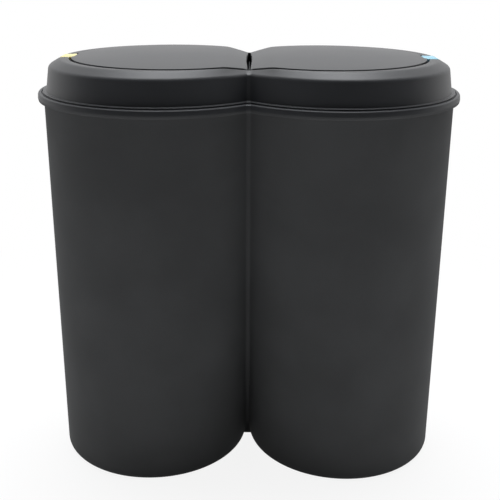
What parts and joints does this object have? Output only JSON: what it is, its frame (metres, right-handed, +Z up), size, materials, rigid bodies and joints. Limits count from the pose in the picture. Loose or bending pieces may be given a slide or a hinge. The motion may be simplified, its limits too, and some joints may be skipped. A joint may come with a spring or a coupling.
{
  "type": "double recycling bin",
  "caption": "Waste sorting bin with tapered compartments side by side in one tub, and a lid frame with domed sprung flaps and push-button latches.",
  "frame": {"origin": "on the floor, under the middle of the bin", "axes": "+Z up, -Y towards the front, +X towards the compartment with the blue button"},
  "size_m": [0.532, 0.3152, 0.5389],
  "materials": {
    "body": "anthracite polypropylene with a fine matte texture",
    "lid": "anthracite polypropylene, slightly smoother than the tub",
    "yellow_button": "satin yellow plastic",
    "blue_button": "satin light blue plastic",
    "latch": "black acetal",
    "steel": "bright drawn steel"
  },
  "bodies": {
    "bin": {"twin_body": "body", "lid_frame": "lid", "left_latch_tray": "latch", "right_latch_tray": "latch", "left_hinge_pin": "steel", "right_hinge_pin": "steel", "left_button_spring": "steel", "right_button_spring": "steel", "left_tray_screw_front": "steel", "left_tray_screw_rear": "steel", "right_tray_screw_front": "steel", "right_tray_screw_rear": "steel"},
    "left_flap": {"left_flap": "lid", "left_hinge_spring": "steel"},
    "right_flap": {"right_flap": "lid", "right_hinge_spring": "steel"},
    "left_button": {"left_button": "yellow_button"},
    "right_button": {"right_button": "blue_button"},
    "left_latch": {"left_latch": "latch"},
    "right_latch": {"right_latch": "latch"}
  },
  "joints": [
    {"name": "left_flap_hinge", "type": "hinge", "parent": "bin", "child": "left_flap", "pos_m": [-0.0075, 0, 0.5247], "axis": [0, 1, 0], "range_deg": [0, 75]},
    {"name": "right_flap_hinge", "type": "hinge", "parent": "bin", "child": "right_flap", "pos_m": [0.0075, 0, 0.5247], "axis": [0, -1, 0], "range_deg": [0, 75]},
    {"name": "left_button_press", "type": "slide", "parent": "bin", "child": "left_button", "axis": [0, 0, -1], "range_m": [0, 0.0035], "stiffness_N_per_m": 600, "springref_m": -0.002, "deforming": ["left_button_spring"]},
    {"name": "right_button_press", "type": "slide", "parent": "bin", "child": "right_button", "axis": [0, 0, -1], "range_m": [0, 0.0035], "stiffness_N_per_m": 600, "springref_m": -0.002, "deforming": ["right_button_spring"]},
    {"name": "left_latch_slide", "type": "slide", "parent": "bin", "child": "left_latch", "axis": [-1, 0, 0], "range_m": [0, 0.0035]},
    {"name": "right_latch_slide", "type": "slide", "parent": "bin", "child": "right_latch", "axis": [1, 0, 0], "range_m": [0, 0.0035]}
  ],
  "couplings": [
    {"joint": "left_latch_slide", "follows": "left_button_press", "ratio": 1},
    {"joint": "right_latch_slide", "follows": "right_button_press", "ratio": 1}
  ]
}
